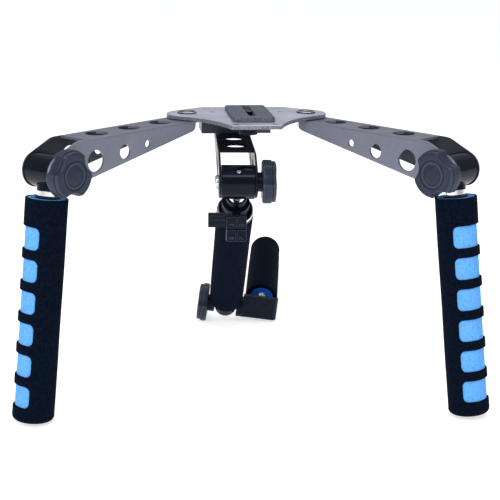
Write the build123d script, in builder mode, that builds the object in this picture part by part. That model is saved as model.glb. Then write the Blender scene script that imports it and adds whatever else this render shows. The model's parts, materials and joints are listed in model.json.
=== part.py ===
from build123d import *
from math import acos, atan2, cos, hypot, pi, radians, sin, sqrt
import os

os.makedirs("parts", exist_ok=True)

# A camera support rig that stands on two handles and one rear leg, in millimetres.
# X is to the rig's right, Y towards its rear and Z up. The origin is on the camera
# screw's axis, at the top of the pad that the camera stands on.

# Centre plate and camera pad
PLATE_TOP = -4.0
PLATE_T = 3.5
PLATE_BOTTOM = PLATE_TOP - PLATE_T
LOBE_X = 53.3
LOBE_Y = 14.0
LOBE_R = 18.0
REAR_Y = 48.6
REAR_HALF = 37.3
FRONT_Y = -56.0
WAIST_R = 85.0
WAIST_X = 104.0
PAD_LENGTH = 73.0
PAD_WIDTH = 36.0
PAD_Y = -3.0
SLOT_WIDTH = 6.6
SLOT_LENGTH = 59.5

# Arms: a folded channel with its web on top, in its own coordinates. Its origin is on
# the pivot axis at the top of the web, +X runs along the arm and +Z is up.
WEB_TOP = PLATE_BOTTOM - 0.8
SHEET = 2.0
ARM_HALF = 16.0
REAR_ARM_HALF = 17.0
WEB_END = 136.4
FLANGE_START = 5.6
FLANGE_START_DEPTH = 8.8
EAR_S = 162.5
EAR_DEPTH = 22.9
EAR_R = 14.4
SHOULDER_S = 146.0
BEND_R = 1.6
WEB_HOLE_R = 9.4
WEB_HOLES = (110.5, 73.2, 35.6)
FLANGE_HOLES = ((127.1, -18.1, 8.85), (94.1, -15.3, 6.0), (67.3, -12.4, 3.1))

# How the arms and handles stand at rest, in degrees
LEFT_ARM_ANGLE = 45.3
RIGHT_ARM_ANGLE = 37.4
REAR_ARM_ANGLE = 3.86
LEFT_LEAN = 7.5
RIGHT_LEAN = 8.8
STRUT_LEAN = -39.85
STRUT_ASKEW = 1.35

# Pivots
PIVOT_R = 4.0
RUN = 0.05
FACE_GAP = 0.1
REAR_PIVOT_Y = 143.7
REAR_WEB_TOP = -37.0
BRACKET_HALF = 33.6
BRACKET_FRONT = 94.0
BRACKET_BACK = 128.0
BRACKET_WEB_TOP = -22.0
HEEL_ROUND = 5.5
SHOULDER_ROUND = 18.0

# Clamps: barrel, bolt and knob
BARREL_R = 13.5
REAR_BARREL_R = 15.0
BARREL_GAP = 0.3
BOLT_R = 3.0
HUB_R = 8.5
KNOB_STAND = 2.0
REAR_KNOB_STAND = 4.0
KNOB_T = 12.0
KNOB_R = 19.5
SCALLOP_R = 17.0
SCALLOP_AT = 32.0
LOBE_ROUND = 1.5
FACE_RING_R = 11.6
BOLT_IN_KNOB = 7.0
GRUB_R = 2.4
COLLAR_R = 8.5
COLLAR_END = 15.0
STEM_TOP = 8.0

# Handle: distances measured down its axis from the barrel's axis
STEM_R = 5.95
TUBE_BORE = STEM_R + RUN
TUBE_R = 9.0
GRIP_TOP = 21.0
GRIP_LENGTH = 181.0
GRIP_R = 17.0
SKIN_T = 2.0
GRIP_BOTTOM = GRIP_TOP + GRIP_LENGTH
WINDOW_COUNT = 6
WINDOW_HEIGHT = 19.0
WINDOW_PITCH = 25.6
WINDOW_FIRST = GRIP_TOP + 22.0
WINDOW_ARC = 170.0
LEFT_WINDOW_FROM = 134.3
RIGHT_WINDOW_FROM = 18.6

# Camera screw: a 1/4 inch thread, drawn in below the pad's face at rest
SCREW_R = 3.175
SCREW_TIP = -0.5
SCREW_LIFT = 6.5
SCREW_KNOB_R = 8.0
SCREW_KNOB_T = 3.5

# Rear strut, its foot and the roller
STRUT_LENGTH = 206.0
CAP_TOP = 41.0
CAP_R = 16.5
FOAM_TOP = 46.3
FOAM_END = 193.7
YOKE_R = 11.0
FOOT_SWIVEL = 7.8
ROLLER_RISE = 4.5
FOOT_KNOB_BACK = 18.0
FOOT_KNOB_T = 10.0
FOOT_BOLT_END = FOOT_KNOB_BACK + BOLT_IN_KNOB
BLOCK_LOW = -7.5
BLOCK_HIGH = 16.5
BLOCK_FRONT = -8.5
BLOCK_BACK = 12.0
BLOCK_LIP = 3.0
BLOCK_STEP = 9.5
BOSS_START = YOKE_R + 0.5
BOSS_R = 10.5
BLOCK_START = GRIP_R + 0.8
POCKET_START = BLOCK_START + 3.5
POCKET_END = POCKET_START + 5.0
BLOCK_END = 53.0
ROLLER_X = 36.0
ROLLER_Z = 3.7
ROLLER_NEAR = 16.0
ROLLER_LENGTH = 150.0
ROLLER_CORE_R = 13.0
AXLE_R = 4.0


def within(base, at=(0, 0, 0), x_dir=(1, 0, 0), z_dir=(0, 0, 1)):
    """A plane whose origin and directions are given in the coordinates of base."""
    zero = base.from_local_coords(Vector(0, 0, 0))
    return Plane(
        origin=base.from_local_coords(Vector(*at)),
        x_dir=base.from_local_coords(Vector(*x_dir)) - zero,
        z_dir=base.from_local_coords(Vector(*z_dir)) - zero,
    )


def polar(radius, degrees, centre=(0, 0)):
    """The point at a radius and an angle from a centre."""
    angle = radians(degrees)
    return (centre[0] + radius * cos(angle), centre[1] + radius * sin(angle))


def tangent_angle(point, centre, radius, side):
    """The angle at which a line from a point touches a circle, on the side given."""
    dx = point[0] - centre[0]
    dy = point[1] - centre[1]
    return (atan2(dy, dx) + side * acos(radius / hypot(dx, dy))) * 180 / pi


def keep(part, label):
    """Label a finished piece and write it to its own file."""
    part.label = label
    export_step(part, f"parts/{label}.step")


def rod(plane, radius, length, bore=0.0, edge=0.0):
    """A round bar or tube that rises from a plane, with an optional chamfered rim."""
    with BuildPart() as bar:
        with BuildSketch(plane):
            Circle(radius)
            if bore:
                Circle(bore, mode=Mode.SUBTRACT)
        extrude(amount=length)
        if edge:
            rims = bar.edges().filter_by(GeomType.CIRCLE)
            chamfer([rim for rim in rims if abs(rim.radius - radius) < 1e-3], edge)
    return bar.part


def group(parts):
    """Several equal pieces kept as separate solids of one node."""
    return Compound(children=list(parts))


# ---------------------------------------------------------------- where things stand
def arm_plane(x, y, top, degrees):
    """An arm's own coordinates: its pivot, and its angle outwards from straight ahead."""
    angle = radians(degrees)
    return Plane(origin=(x, y, top), x_dir=(-sin(angle), -cos(angle), 0), z_dir=(0, 0, 1))


def handle_plane(arm, side, lean):
    """A handle's coordinates: X along the clamp bolt to the knob, Z up the handle."""
    angle = radians(lean)
    return within(
        arm, (EAR_S, 0, -EAR_DEPTH), x_dir=(0, side, 0), z_dir=(-sin(angle), 0, cos(angle))
    )


left_arm_at = arm_plane(-LOBE_X, LOBE_Y, WEB_TOP, LEFT_ARM_ANGLE)
right_arm_at = arm_plane(LOBE_X, LOBE_Y, WEB_TOP, -RIGHT_ARM_ANGLE)
rear_arm_at = arm_plane(0, REAR_PIVOT_Y, REAR_WEB_TOP, REAR_ARM_ANGLE)
left_handle_at = handle_plane(left_arm_at, 1, LEFT_LEAN)
right_handle_at = handle_plane(right_arm_at, -1, RIGHT_LEAN)
rear_barrel_at = handle_plane(rear_arm_at, 1, STRUT_LEAN)

# The strut leaves its barrel a little askew, towards the side away from the knob
askew = radians(STRUT_ASKEW)
strut_at = within(
    rear_barrel_at, x_dir=(cos(askew), 0, -sin(askew)), z_dir=(sin(askew), 0, cos(askew))
)

# The strut's foot: X along the hinge bolt, Y back along the roller
foot_turn = radians(FOOT_SWIVEL)
yoke_at = within(
    strut_at, (0, 0, -STRUT_LENGTH), x_dir=(cos(foot_turn), -sin(foot_turn), 0)
)
hinge_dir = yoke_at.x_dir
level_back = Vector(0, 0, 1).cross(hinge_dir).normalized()
roller_dir = level_back.rotate(Axis((0, 0, 0), hinge_dir), ROLLER_RISE)
foot_at = Plane(origin=yoke_at.origin, x_dir=hinge_dir, z_dir=hinge_dir.cross(roller_dir))


# ------------------------------------------------------------------------ centre plate
waist_y = LOBE_Y - sqrt((WAIST_R + LOBE_R) ** 2 - (WAIST_X - LOBE_X) ** 2)
waist_angle = atan2(waist_y - LOBE_Y, WAIST_X - LOBE_X) * 180 / pi
front_half = WAIST_X - sqrt(WAIST_R**2 - (FRONT_Y - waist_y) ** 2)
lobe = (LOBE_X, LOBE_Y)
rear_corner = (REAR_HALF, REAR_Y)
lobe_start = tangent_angle(rear_corner, lobe, LOBE_R, -1)
front_angle = atan2(FRONT_Y - waist_y, front_half - WAIST_X) * 180 / pi
waist_mid = (front_angle + waist_angle + 180) / 2

with BuildPart() as top_plate:
    with BuildSketch(Plane.XY.offset(PLATE_BOTTOM)) as outline:
        with BuildLine():
            Line((0, REAR_Y), rear_corner)
            Line(rear_corner, polar(LOBE_R, lobe_start, lobe))
            ThreePointArc(
                polar(LOBE_R, lobe_start, lobe),
                polar(LOBE_R, (lobe_start + waist_angle) / 2, lobe),
                polar(LOBE_R, waist_angle, lobe),
            )
            ThreePointArc(
                polar(LOBE_R, waist_angle, lobe),
                polar(WAIST_R, waist_mid, (WAIST_X, waist_y)),
                (front_half, FRONT_Y),
            )
            Line((front_half, FRONT_Y), (0, FRONT_Y))
            mirror(about=Plane.YZ)
        make_face()
        corners = outline.vertices().group_by(Axis.Y)[0]
        fillet(corners.filter_by(lambda v: abs(v.X) > 1), 3)
        SlotOverall(SLOT_LENGTH, SLOT_WIDTH, rotation=90, mode=Mode.SUBTRACT)
        with Locations((LOBE_X, LOBE_Y), (-LOBE_X, LOBE_Y)):
            Circle(PIVOT_R + FACE_GAP, mode=Mode.SUBTRACT)
    extrude(amount=PLATE_T)
    top_edges = top_plate.faces().sort_by(Axis.Z)[-1].outer_wire().edges()
    chamfer(top_edges, 0.5)
    with Locations(Plane.XY.offset(PLATE_TOP)):
        with Locations((30, 19), (-30, 19), (17, -50), (-17, -50)):
            CounterSinkHole(radius=1.6, counter_sink_radius=3.1)
keep(top_plate.part, "top_plate")

with BuildPart() as camera_pad:
    with BuildSketch(Plane.XY.offset(PLATE_TOP)):
        with Locations((0, PAD_Y)):
            RectangleRounded(PAD_WIDTH, PAD_LENGTH, 3.5)
        SlotOverall(SLOT_LENGTH, SLOT_WIDTH, rotation=90, mode=Mode.SUBTRACT)
    extrude(amount=-PLATE_TOP)
    chamfer(camera_pad.faces().sort_by(Axis.Z)[-1].outer_wire().edges(), 0.6)
keep(camera_pad.part, "camera_pad")

# ------------------------------------------------------------------------ rear bracket
with BuildPart() as rear_bracket:
    # side view of the folded sheet: under the plate, down a slope, and level again
    with BuildSketch(Plane.YZ.offset(-BRACKET_HALF)):
        with BuildLine():
            Polyline(
                (12, PLATE_BOTTOM),
                (52, PLATE_BOTTOM),
                (BRACKET_FRONT, BRACKET_WEB_TOP),
                (REAR_PIVOT_Y + 18, BRACKET_WEB_TOP),
                (REAR_PIVOT_Y + 18, BRACKET_WEB_TOP - SHEET),
                (BRACKET_FRONT, BRACKET_WEB_TOP - SHEET),
                (51, PLATE_BOTTOM - SHEET),
                (12, PLATE_BOTTOM - SHEET),
                close=True,
            )
        make_face()
    extrude(amount=2 * BRACKET_HALF)
    # plan of the sheet: full width to the box's back, then a round nose at the pivot
    with BuildSketch(Plane.XY.offset(BRACKET_WEB_TOP - 5)):
        with BuildLine():
            Polyline(
                (-BRACKET_HALF, 10),
                (BRACKET_HALF, 10),
                (BRACKET_HALF, BRACKET_BACK),
                (18, REAR_PIVOT_Y),
                (-18, REAR_PIVOT_Y),
                (-BRACKET_HALF, BRACKET_BACK),
                close=True,
            )
        make_face()
        with Locations((0, REAR_PIVOT_Y)):
            Circle(18)
    extrude(amount=30, mode=Mode.INTERSECT)
    # front wall and side walls of the box
    with BuildSketch(Plane.XY.offset(REAR_WEB_TOP + 0.5)):
        with Locations((0, (BRACKET_FRONT + BRACKET_BACK) / 2)):
            Rectangle(2 * BRACKET_HALF, BRACKET_BACK - BRACKET_FRONT)
        with Locations((0, (BRACKET_FRONT + BRACKET_BACK) / 2 + SHEET)):
            Rectangle(
                2 * (BRACKET_HALF - SHEET), BRACKET_BACK - BRACKET_FRONT, mode=Mode.SUBTRACT
            )
    extrude(amount=BRACKET_WEB_TOP - SHEET - REAR_WEB_TOP - 0.5)
    # room for the camera screw, which slides in the plate above
    with BuildSketch(Plane.XY.offset(PLATE_BOTTOM - 5)):
        with Locations((0, 27)):
            Rectangle(26, 34)
        with Locations((30, 19), (-30, 19)):
            Circle(1.5)
    extrude(amount=10, mode=Mode.SUBTRACT)
    with BuildSketch(Plane.XY.offset(BRACKET_WEB_TOP - 5)):
        with Locations((0, REAR_PIVOT_Y)):
            Circle(PIVOT_R + FACE_GAP)
    extrude(amount=10, mode=Mode.SUBTRACT)
keep(rear_bracket.part, "rear_bracket")


def plate_screw(x, y, length):
    """A small countersunk screw, flush with the plate's top."""
    with BuildPart() as screw:
        with BuildSketch(Plane.XZ.offset(-y)):
            with BuildLine():
                Polyline(
                    (x, PLATE_TOP),
                    (x + 2.9, PLATE_TOP),
                    (x + 1.45, PLATE_TOP - 1.45),
                    (x + 1.45, PLATE_TOP - length),
                    (x, PLATE_TOP - length),
                    close=True,
                )
            make_face()
        revolve(axis=Axis((x, y, 0), (0, 0, 1)))
        with BuildSketch(Plane.XY.offset(PLATE_TOP)):
            with Locations((x, y)):
                RegularPolygon(0.9, 6)
        extrude(amount=-1.0, mode=Mode.SUBTRACT)
    return screw.part


bracket_screws = [plate_screw(side * 30, 19, 8.5) for side in (1, -1)]
front_screws = [plate_screw(side * 17, -50, 3.4) for side in (1, -1)]
keep(group(bracket_screws + front_screws), "plate_screws")


# ------------------------------------------------------------------------------ pivots
def pivot_screw(x, y, seat, length):
    """A domed pivot screw: a wide head on its seat and a smooth shank below it."""
    with BuildPart() as screw:
        with BuildSketch(Plane.XY.offset(seat)):
            with Locations((x, y)):
                Circle(8.5)
        extrude(amount=1.4)
        dome = screw.faces().sort_by(Axis.Z)[-1].edges()
        fillet(dome, 1.1)
        with BuildSketch(Plane.XY.offset(seat)):
            with Locations((x, y)):
                Circle(PIVOT_R)
        extrude(amount=-length)
        with BuildSketch(Plane.XY.offset(seat + 1.4)):
            with Locations((x, y)):
                RegularPolygon(2.6, 6)
        extrude(amount=-1.0, mode=Mode.SUBTRACT)
    return screw.part


def washer(x, y, top, thickness, radius):
    """A washer round a pivot, below a height."""
    return rod(Plane(origin=(x, y, top - thickness)), radius, thickness, PIVOT_R + RUN)


def lock_nut(x, y, top):
    """A hexagon nut with a round nylon collar at its lower end."""
    with BuildPart() as nut:
        with BuildSketch(Plane.XY.offset(top)):
            with Locations((x, y)):
                RegularPolygon(7.5, 6)
                Circle(PIVOT_R + 0.02, mode=Mode.SUBTRACT)
        extrude(amount=-5.0)
        with BuildSketch(Plane.XY.offset(top - 5.0)):
            with Locations((x, y)):
                Circle(5.8)
                Circle(PIVOT_R + 0.02, mode=Mode.SUBTRACT)
        extrude(amount=-1.6)
    return nut.part


front_pivots = [(-LOBE_X, LOBE_Y), (LOBE_X, LOBE_Y)]
keep(group([pivot_screw(x, y, PLATE_TOP, 16.0) for x, y in front_pivots]), "front_pivot_screws")
keep(
    group([washer(x, y, PLATE_BOTTOM, 0.7, 15.0) for x, y in front_pivots]),
    "front_upper_washers",
)

# each pivot's washer and nut hang just below its arm's web
under_webs = [(x, y, WEB_TOP - SHEET - FACE_GAP) for x, y in front_pivots]
under_webs.append((0, REAR_PIVOT_Y, REAR_WEB_TOP - SHEET - FACE_GAP))
keep(group([washer(x, y, top, 1.5, 10.0) for x, y, top in under_webs]), "lower_washers")
keep(group([lock_nut(x, y, top - 1.5) for x, y, top in under_webs]), "pivot_nuts")

spacer_length = BRACKET_WEB_TOP - SHEET - REAR_WEB_TOP - FACE_GAP
keep(pivot_screw(0, REAR_PIVOT_Y, BRACKET_WEB_TOP, 27.0), "rear_pivot_screw")
keep(
    washer(0, REAR_PIVOT_Y, BRACKET_WEB_TOP - SHEET, spacer_length, 11.0),
    "rear_pivot_spacer",
)

# ------------------------------------------------------------------------ camera screw
guide_top = PLATE_BOTTOM - FACE_GAP
collar_top = guide_top - 1.5 - FACE_GAP - SCREW_LIFT

with BuildPart() as screw_guide:
    with BuildSketch(Plane.XY.offset(guide_top)):
        RectangleRounded(16, 22, 3)
        Circle(SCREW_R + RUN, mode=Mode.SUBTRACT)
    extrude(amount=-1.5)
keep(screw_guide.part, "screw_guide")

keep(
    rod(Plane.XY.offset(collar_top - 1.5), 6.5, 1.5, SCREW_R + RUN),
    "screw_collar",
)

with BuildPart() as camera_screw:
    with BuildSketch(Plane.XY.offset(collar_top - 1.5 - FACE_GAP)) as knurl:
        Circle(SCREW_KNOB_R)
        with PolarLocations(SCREW_KNOB_R + 0.3, 24):
            Circle(0.8, mode=Mode.SUBTRACT)
    extrude(amount=-SCREW_KNOB_T)
    with BuildSketch(Plane.XY.offset(collar_top - 1.6)):
        Circle(SCREW_R)
    extrude(amount=SCREW_TIP - collar_top + 1.6)
    tip = camera_screw.faces().sort_by(Axis.Z)[-1].edges()
    chamfer(tip, 0.6)
    with BuildSketch(Plane.XY.offset(collar_top - 1.6 - SCREW_KNOB_T)):
        Rectangle(12, 1.6)
    extrude(amount=1.5, mode=Mode.SUBTRACT)
keep(camera_screw.part, "camera_screw")


# -------------------------------------------------------------------------------- arms
def make_arm(base, half, label):
    """One folded arm: a web, two tapering flanges and the ears of the clamp."""
    ear = (EAR_S, -EAR_DEPTH)
    shoulder = (SHOULDER_S, 0)
    heel = (FLANGE_START, -FLANGE_START_DEPTH)
    with BuildPart() as arm:
        for y in (half, SHEET - half):
            # this plane's own Y points up and its normal is the arm's -Y
            with BuildSketch(within(base, (0, y, 0), z_dir=(0, -1, 0))) as side:
                with BuildLine():
                    Polyline(
                        (FLANGE_START, 0),
                        shoulder,
                        polar(EAR_R, tangent_angle(shoulder, ear, EAR_R, -1), ear),
                        ear,
                        polar(EAR_R, tangent_angle(heel, ear, EAR_R, 1), ear),
                        heel,
                        close=True,
                    )
                make_face()
                fillet(side.vertices().sort_by_distance((*heel, 0))[0], HEEL_ROUND)
                fillet(side.vertices().sort_by_distance((*shoulder, 0))[0], SHOULDER_ROUND)
                with Locations(ear):
                    Circle(EAR_R)
                    Circle(BOLT_R + FACE_GAP, mode=Mode.SUBTRACT)
                for s, z, radius in FLANGE_HOLES:
                    with Locations((s, z)):
                        Circle(radius, mode=Mode.SUBTRACT)
            extrude(amount=SHEET)
        with BuildSketch(within(base, (0, 0, -SHEET))):
            with Locations((WEB_END / 2, 0)):
                Rectangle(WEB_END, 2 * half)
            Circle(half)
            Circle(PIVOT_R + RUN, mode=Mode.SUBTRACT)
            for s in WEB_HOLES:
                with Locations((s, 0)):
                    Circle(WEB_HOLE_R, mode=Mode.SUBTRACT)
        extrude(amount=SHEET)
        bends = []
        for edge in arm.edges().filter_by(GeomType.LINE):
            middle = base.to_local_coords(edge.center())
            on_bend = abs(middle.Z) < 0.01 and abs(abs(middle.Y) - half) < 0.01
            if edge.length > 60 and on_bend:
                bends.append(edge)
        fillet(bends, BEND_R)
    keep(arm.part, label)


make_arm(left_arm_at, ARM_HALF, "left_arm")
make_arm(right_arm_at, ARM_HALF, "right_arm")
make_arm(rear_arm_at, REAR_ARM_HALF, "rear_arm")


# ------------------------------------------------------------------------------ clamps
def clamp_bolt(base, start, end, label):
    """A clamp bolt along the base's X, with a domed head at its start."""
    with BuildPart() as bolt:
        with BuildSketch(within(base, (start, 0, 0), x_dir=(0, 1, 0), z_dir=(1, 0, 0))):
            Circle(BOLT_R)
        extrude(amount=end - start)
        with BuildSketch(within(base, (start, 0, 0), x_dir=(0, 1, 0), z_dir=(-1, 0, 0))):
            Circle(6)
        extrude(amount=3.2)
        rims = bolt.edges().filter_by(GeomType.CIRCLE)
        wide = rims.filter_by(lambda rim: abs(rim.radius - 6) < 0.01)
        crown = wide.sort_by_distance(base.from_local_coords(Vector(start - 9, 0, 0)))[0]
        fillet(crown, 1.8)
        with BuildSketch(within(base, (start - 3.2, 0, 0), x_dir=(0, 1, 0), z_dir=(1, 0, 0))):
            RegularPolygon(2.2, 6)
        extrude(amount=1.8, mode=Mode.SUBTRACT)
    keep(bolt.part, label)


def clamp_knob(base, back, thick, label, turn=90.0):
    """A round knob with three finger scallops and a plain ring sunk in its face."""
    with BuildPart() as knob:
        with BuildSketch(within(base, (back, 0, 0), x_dir=(0, 1, 0), z_dir=(1, 0, 0))) as face:
            Circle(KNOB_R)
            with PolarLocations(SCALLOP_AT, 3, start_angle=turn):
                Circle(SCALLOP_R, mode=Mode.SUBTRACT)
            fillet(face.vertices(), LOBE_ROUND)
        extrude(amount=thick)
        ends = knob.faces().filter_by(GeomType.PLANE).sort_by_distance(
            base.from_local_coords(Vector(back + thick, 0, 0))
        )
        chamfer(ends[0].outer_wire().edges(), 1.0)
        front = within(base, (back + thick, 0, 0), x_dir=(0, 1, 0), z_dir=(-1, 0, 0))
        with BuildSketch(front):
            Circle(FACE_RING_R)
            Circle(FACE_RING_R - 1, mode=Mode.SUBTRACT)
        extrude(amount=0.6, mode=Mode.SUBTRACT)
        with BuildSketch(within(base, (back, 0, 0), x_dir=(0, 1, 0), z_dir=(1, 0, 0))):
            Circle(BOLT_R + RUN)
        extrude(amount=7.4, mode=Mode.SUBTRACT)
    keep(knob.part, label)


def knob_hub(base, start, end, label):
    """The dark sleeve between the ear and the knob, which turns with the knob."""
    plane = within(base, (start, 0, 0), x_dir=(0, 1, 0), z_dir=(1, 0, 0))
    keep(rod(plane, HUB_R, end - start, BOLT_R + RUN), label)


def clamp_barrel(base, stem_at, radius, half, label):
    """The glossy barrel between the ears, with a short collar that holds the stem."""
    with BuildPart() as barrel:
        plane = within(base, (-half, 0, 0), x_dir=(0, 1, 0), z_dir=(1, 0, 0))
        with BuildSketch(plane):
            Circle(radius)
        extrude(amount=2 * half)
        chamfer(barrel.edges().filter_by(GeomType.CIRCLE), 0.6)
        with BuildSketch(within(stem_at, (0, 0, -COLLAR_END))):
            Circle(COLLAR_R)
        extrude(amount=COLLAR_END - 4)
        with BuildSketch(within(stem_at, (0, 0, -COLLAR_END))):
            Circle(STEM_R)
        extrude(amount=COLLAR_END - STEM_TOP, mode=Mode.SUBTRACT)
        with BuildSketch(plane):
            Circle(BOLT_R + RUN)
        extrude(amount=2 * half, mode=Mode.SUBTRACT)
        # the hole of a grub screw in the top of the barrel
        with BuildSketch(within(base, (0, 0, radius))):
            Circle(GRUB_R)
        extrude(amount=-4, mode=Mode.SUBTRACT)
    keep(barrel.part, label)


clamps = (
    ("left", left_arm_at, 1, left_handle_at, left_handle_at, ARM_HALF, BARREL_R, KNOB_STAND),
    ("right", right_arm_at, -1, right_handle_at, right_handle_at, ARM_HALF, BARREL_R, KNOB_STAND),
    ("rear", rear_arm_at, 1, rear_barrel_at, strut_at, REAR_ARM_HALF, REAR_BARREL_R, REAR_KNOB_STAND),
)
for name, arm_at, knob_on, hung_at, stem_at, half, radius, stand in clamps:
    ear_at = handle_plane(arm_at, knob_on, 0)
    knob_back = half + stand
    clamp_bolt(ear_at, -half, knob_back + BOLT_IN_KNOB, f"{name}_clamp_bolt")
    clamp_knob(ear_at, knob_back, KNOB_T, f"{name}_knob")
    knob_hub(ear_at, half + FACE_GAP, knob_back, f"{name}_knob_hub")
    clamp_barrel(hung_at, stem_at, radius, half - SHEET - BARREL_GAP, f"{name}_barrel")


# ----------------------------------------------------------------------------- handles
def faceted_ring(base, top, height, label):
    """The bright lock ring: a flat-sided ring round the stem."""
    with BuildPart() as ring:
        with BuildSketch(within(base, (0, 0, -top - height))):
            RegularPolygon(8.6, 12)
            Circle(STEM_R + RUN, mode=Mode.SUBTRACT)
        extrude(amount=height)
    keep(ring.part, label)


def grip_skin(base, window_from, label):
    """The black foam skin: a sleeve with six finger windows and a rounded lower end."""
    with BuildPart() as skin:
        with BuildSketch(within(base, (0, 0, -GRIP_BOTTOM))):
            Circle(GRIP_R)
        extrude(amount=GRIP_LENGTH)
        bottom_rim = skin.edges().filter_by(GeomType.CIRCLE).sort_by_distance(
            base.from_local_coords(Vector(0, 0, -GRIP_BOTTOM))
        )[0]
        fillet(bottom_rim, 4)
        with BuildSketch(within(base, (0, 0, -GRIP_BOTTOM + SKIN_T))):
            Circle(GRIP_R - SKIN_T)
        extrude(amount=GRIP_LENGTH, mode=Mode.SUBTRACT)
        with BuildSketch(within(base, (0, 0, -GRIP_BOTTOM))):
            Circle(7.6)
        extrude(amount=GRIP_LENGTH, mode=Mode.SUBTRACT)
        angle = radians(window_from)
        radial = within(
            base, (0, 0, 0), x_dir=(cos(angle), sin(angle), 0), z_dir=(sin(angle), -cos(angle), 0)
        )
        for index in range(WINDOW_COUNT):
            middle = WINDOW_FIRST + WINDOW_HEIGHT / 2 + index * WINDOW_PITCH
            with BuildSketch(radial):
                with Locations((GRIP_R, -middle)):
                    Rectangle(2 * SKIN_T + 0.4, WINDOW_HEIGHT)
            revolve(
                axis=Axis(base.origin, base.z_dir),
                revolution_arc=WINDOW_ARC,
                mode=Mode.SUBTRACT,
            )
    keep(skin.part, label)


def make_handle(name, base, window_from):
    keep(rod(within(base, (0, 0, -60)), STEM_R, 60 - STEM_TOP), f"{name}_stem")
    faceted_ring(base, 15.2, 4.0, f"{name}_lock_ring")
    with BuildPart() as tube:
        for radius, bottom, top in ((TUBE_R, 199.5, GRIP_TOP), (9.6, GRIP_TOP, 19.3)):
            with BuildSketch(within(base, (0, 0, -bottom))):
                Circle(radius)
                Circle(TUBE_BORE, mode=Mode.SUBTRACT)
            extrude(amount=bottom - top)
    keep(tube.part, f"{name}_grip_tube")
    core = rod(within(base, (0, 0, -199.7)), GRIP_R - SKIN_T - 0.1, 178.6, TUBE_R + 0.05)
    keep(core, f"{name}_grip_core")
    grip_skin(base, window_from, f"{name}_grip_skin")
    keep(rod(within(base, (0, 0, -GRIP_BOTTOM + 0.3)), 7.5, 1.7, edge=0.3), f"{name}_end_plug")


make_handle("left", left_handle_at, LEFT_WINDOW_FROM)
make_handle("right", right_handle_at, RIGHT_WINDOW_FROM)

# --------------------------------------------------------------------------- rear strut
keep(rod(within(strut_at, (0, 0, -80)), STEM_R, 80 - STEM_TOP), "strut_stem")
faceted_ring(strut_at, 15.2, 5.0, "strut_lock_ring")
with BuildPart() as strut_neck:
    for radius, bottom, top in ((9.5, CAP_TOP + 1.6, 20.4), (CAP_R, FOAM_TOP - 0.1, CAP_TOP + 1.6)):
        with BuildSketch(within(strut_at, (0, 0, -bottom))):
            Circle(radius)
            Circle(TUBE_BORE, mode=Mode.SUBTRACT)
        extrude(amount=bottom - top)
keep(strut_neck.part, "strut_neck")

with BuildPart() as cap_ring:
    with BuildSketch(within(strut_at, (0, 0, -CAP_TOP - 1.6))):
        Circle(CAP_R)
        Circle(CAP_R - 1.6, mode=Mode.SUBTRACT)
    extrude(amount=2.6)
keep(cap_ring.part, "cap_ring")

keep(rod(within(strut_at, (0, 0, -FOAM_END)), TUBE_R, FOAM_END - FOAM_TOP, TUBE_BORE), "strut_tube")
keep(
    rod(
        within(strut_at, (0, 0, -FOAM_END)),
        ROLLER_CORE_R,
        FOAM_END - FOAM_TOP,
        TUBE_R + 0.05,
    ),
    "strut_foam_core",
)
keep(
    rod(
        within(strut_at, (0, 0, -FOAM_END)),
        GRIP_R,
        FOAM_END - FOAM_TOP,
        ROLLER_CORE_R + 0.1,
        edge=1.5,
    ),
    "strut_foam",
)

# ---------------------------------------------------------------------------- cable clip
# The clip's plane is upright and faces the front. Its ring closes round the strut's neck.
clip_ring_at = within(strut_at, (0, 0, -38))
clip_middle = strut_at.from_local_coords(Vector(0, -25.5, -34.4))
clip_x = Vector(strut_at.x_dir.X, strut_at.x_dir.Y, 0).normalized()
clip_at = Plane(origin=clip_middle, x_dir=clip_x, z_dir=Vector(0, 0, 1).cross(clip_x) * -1)

with BuildPart() as cable_clip:
    with BuildSketch(clip_ring_at):
        Circle(12.5)
        Circle(9.6, mode=Mode.SUBTRACT)
        with Locations((0, -14.3)):
            Rectangle(8, 8)
    extrude(amount=9)
    with BuildSketch(clip_at.offset(-5)):
        Rectangle(18, 23)
        with Locations((-17, 7)):
            Rectangle(16, 13)
        with Locations((-9, 7)):
            Rectangle(4, 9)
    extrude(amount=3)
    with BuildSketch(clip_at.offset(-2)):
        for row in range(3):
            with Locations((-17.5, 3 + 4 * row)):
                Rectangle(14, 1.2)
    extrude(amount=-0.8, mode=Mode.SUBTRACT)
keep(cable_clip.part, "cable_clip")

jaws = []
for x in (-4.6, 4.6):
    for z in (-6.0, 6.0):
        with BuildPart() as jaw:
            with BuildSketch(clip_at.offset(-2)):
                with Locations((x, z)):
                    RectangleRounded(8.6, 10.6, 0.8)
            extrude(amount=5)
            with BuildSketch(clip_at.offset(3)):
                with Locations((x, z - 2.4)):
                    Rectangle(3.6, 1.4)
            extrude(amount=-1, mode=Mode.SUBTRACT)
        jaws.append(jaw.part)
keep(group(jaws), "clip_jaws")

# -------------------------------------------------------------------------------- foot
with BuildPart() as foot_yoke:
    with BuildSketch(within(strut_at, (0, 0, -STRUT_LENGTH - YOKE_R))):
        Circle(YOKE_R)
    extrude(amount=STRUT_LENGTH + YOKE_R - FOAM_END - 0.3)
    toe = foot_yoke.edges().filter_by(GeomType.CIRCLE).sort_by_distance(
        strut_at.from_local_coords(Vector(0, 0, -STRUT_LENGTH - YOKE_R))
    )[0]
    fillet(toe, YOKE_R - 2)
    with BuildSketch(within(strut_at, (0, 0, -STRUT_LENGTH + 8))):
        Circle(STEM_R)
    extrude(amount=34)
    with BuildSketch(within(yoke_at, (-YOKE_R - 1, 0, 0), x_dir=(0, 1, 0), z_dir=(1, 0, 0))):
        Circle(BOLT_R + FACE_GAP)
    extrude(amount=2 * YOKE_R + 2, mode=Mode.SUBTRACT)
keep(foot_yoke.part, "foot_yoke")

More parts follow.
